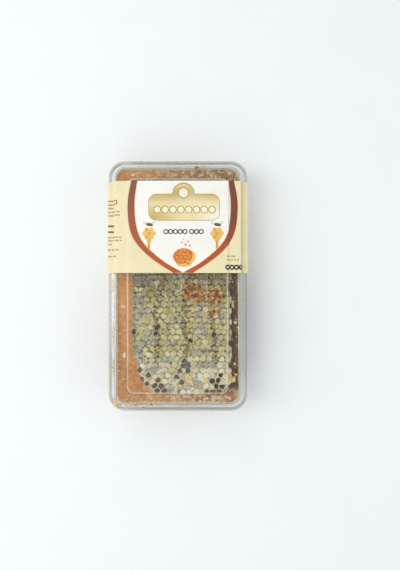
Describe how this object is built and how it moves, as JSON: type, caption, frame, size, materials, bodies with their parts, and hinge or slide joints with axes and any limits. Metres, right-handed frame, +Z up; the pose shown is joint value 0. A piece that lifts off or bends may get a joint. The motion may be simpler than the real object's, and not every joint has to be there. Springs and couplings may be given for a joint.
{
  "type": "honeycomb piece in a clear box",
  "caption": "Slab of capped honeycomb standing in honey, in a shut clear plastic box with a raised lid and a printed paper band over one end.",
  "frame": {"origin": "middle of the tray's underside, under the middle of the box", "axes": "+Z up out of the lid, +Y along the box towards the banded end, +X across it"},
  "size_m": [0.1152, 0.204, 0.0481],
  "materials": {
    "clear_plastic": "thin clear rigid plastic, glossy, lightly scuffed",
    "honey": "thick brown honey with a wet, soft shine",
    "beeswax": "pale yellow-brown wax caps, satin, with wet amber patches",
    "print": "coated cream paper, satin, printed with plain shapes"
  },
  "bodies": {
    "root": {"tray": "clear_plastic", "lid": "clear_plastic", "honey": "honey", "honeycomb": "beeswax", "label": "print"}
  },
  "joints": []
}
